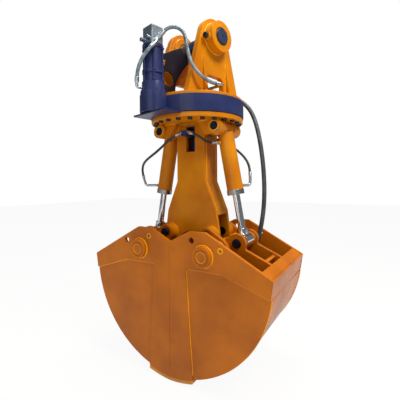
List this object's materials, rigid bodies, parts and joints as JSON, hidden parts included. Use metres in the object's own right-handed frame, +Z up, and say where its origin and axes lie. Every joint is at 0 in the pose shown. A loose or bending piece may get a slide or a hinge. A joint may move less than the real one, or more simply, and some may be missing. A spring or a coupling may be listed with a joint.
{
  "type": "clamshell bucket",
  "caption": "Rotating hydraulic clamshell bucket for an excavator, with a pinned hanger, slewing drive, column, two cylinders and two curved shells.",
  "frame": {"origin": "middle of the hanger pin, on its axis", "axes": "+Z up, the shells open along X and hinge about Y; the hanger stands turned 14 degrees about Z from the shells"},
  "size_m": [1.218, 0.7914, 2.152],
  "materials": {
    "yellow_paint": "semi_gloss",
    "ochre_paint": "semi_gloss",
    "navy_paint": "semi_gloss",
    "worn_edge": "worn",
    "machined_steel": "machined",
    "dark_steel": "blued",
    "rod_chrome": "polished",
    "gear_steel": "machined",
    "bronze_bush": "machined",
    "zinc_fitting": "plated",
    "hose_rubber": "matte",
    "sleeved_hose": "satin"
  },
  "bodies": {
    "hanger": {"hanger_plate": "yellow_paint", "hanger_ear_left": "yellow_paint", "hanger_ear_right": "yellow_paint", "hanger_bushes": "bronze_bush", "hanger_pin": "dark_steel", "hanger_lock_bolt": "dark_steel", "hose_guard": "navy_paint", "slew_housing": "navy_paint", "bearing_inner_race": "gear_steel", "slew_motor": "navy_paint", "valve_block": "zinc_fitting", "swivel_core": "ochre_paint", "supply_hose": "hose_rubber", "motor_top_hose": "sleeved_hose", "motor_side_hose": "sleeved_hose", "hanger_hose_fittings": "zinc_fitting"},
    "column": {"column_flange": "yellow_paint", "column_bolts": "dark_steel", "column_front_plate": "yellow_paint", "column_rear_plate": "yellow_paint", "column_side_plates": "yellow_paint", "cylinder_lugs": "yellow_paint", "top_pins": "dark_steel", "hinge_pins": "dark_steel", "slew_gear_ring": "gear_steel", "swivel_body": "navy_paint", "column_hose_fittings": "zinc_fitting", "left_rod_hose": "hose_rubber", "right_rod_hose": "hose_rubber", "left_head_hose": "hose_rubber", "right_head_hose": "hose_rubber"},
    "drive_pinion": {"drive_pinion": "gear_steel"},
    "right_shell": {"right_side_plates": "yellow_paint", "right_wear_plates": "yellow_paint", "right_belly_plate": "yellow_paint", "right_cutting_edge": "worn_edge", "right_torsion_tube": "yellow_paint", "right_hinge_arms": "yellow_paint", "right_hinge_bushes": "bronze_bush", "right_rod_cheeks": "yellow_paint", "right_rod_pin": "dark_steel"},
    "right_barrel": {"right_barrel": "yellow_paint", "right_gland": "machined_steel", "right_hose_fittings": "zinc_fitting"},
    "right_rod": {"right_rod": "rod_chrome", "right_piston": "machined_steel"},
    "left_shell": {"left_side_plates": "yellow_paint", "left_wear_plates": "yellow_paint", "left_belly_plate": "yellow_paint", "left_cutting_edge": "worn_edge", "left_torsion_tube": "yellow_paint", "left_hinge_arms": "yellow_paint", "left_hinge_bushes": "bronze_bush", "left_rod_cheeks": "yellow_paint", "left_rod_pin": "dark_steel"},
    "left_barrel": {"left_barrel": "yellow_paint", "left_gland": "machined_steel", "left_hose_fittings": "zinc_fitting"},
    "left_rod": {"left_rod": "rod_chrome", "left_piston": "machined_steel"}
  },
  "joints": [
    {"name": "slew", "type": "hinge", "parent": "hanger", "child": "column", "pos_m": [0, 0, -0.5], "axis": [0, 0, 1], "continuous": true, "deforming": ["supply_hose"]},
    {"name": "pinion_spin", "type": "hinge", "parent": "hanger", "child": "drive_pinion", "pos_m": [-0.10249, -0.32838, -0.46], "axis": [0, 0, 1], "continuous": true},
    {"name": "right_shell_open", "type": "hinge", "parent": "column", "child": "right_shell", "pos_m": [0.15, 0, -1.216], "axis": [0, -1, 0], "range_deg": [0, 45]},
    {"name": "left_shell_open", "type": "hinge", "parent": "column", "child": "left_shell", "pos_m": [-0.15, 0, -1.216], "axis": [0, 1, 0], "range_deg": [0, 45]},
    {"name": "right_barrel_swing", "type": "hinge", "parent": "column", "child": "right_barrel", "pos_m": [0.203, 0, -0.56], "axis": [0, -1, 0], "range_deg": [0, 1], "deforming": ["right_rod_hose", "right_head_hose"]},
    {"name": "left_barrel_swing", "type": "hinge", "parent": "column", "child": "left_barrel", "pos_m": [-0.203, 0, -0.56], "axis": [0, 1, 0], "range_deg": [0, 1], "deforming": ["left_rod_hose", "left_head_hose"]},
    {"name": "right_rod_slide", "type": "slide", "parent": "right_barrel", "child": "right_rod", "axis": [-0.1775, 0, 0.9841], "range_m": [0, 0.145]},
    {"name": "left_rod_slide", "type": "slide", "parent": "left_barrel", "child": "left_rod", "axis": [0.1775, 0, 0.9841], "range_m": [0, 0.145]}
  ],
  "couplings": [
    {"joint": "pinion_spin", "follows": "slew", "ratio": -4.7333},
    {"joint": "right_barrel_swing", "follows": "right_shell_open", "ratio": 0.017778},
    {"joint": "left_barrel_swing", "follows": "left_shell_open", "ratio": 0.017778},
    {"joint": "right_rod_slide", "follows": "right_shell_open", "m_per_rad": 0.17716},
    {"joint": "left_rod_slide", "follows": "left_shell_open", "m_per_rad": 0.17716}
  ]
}
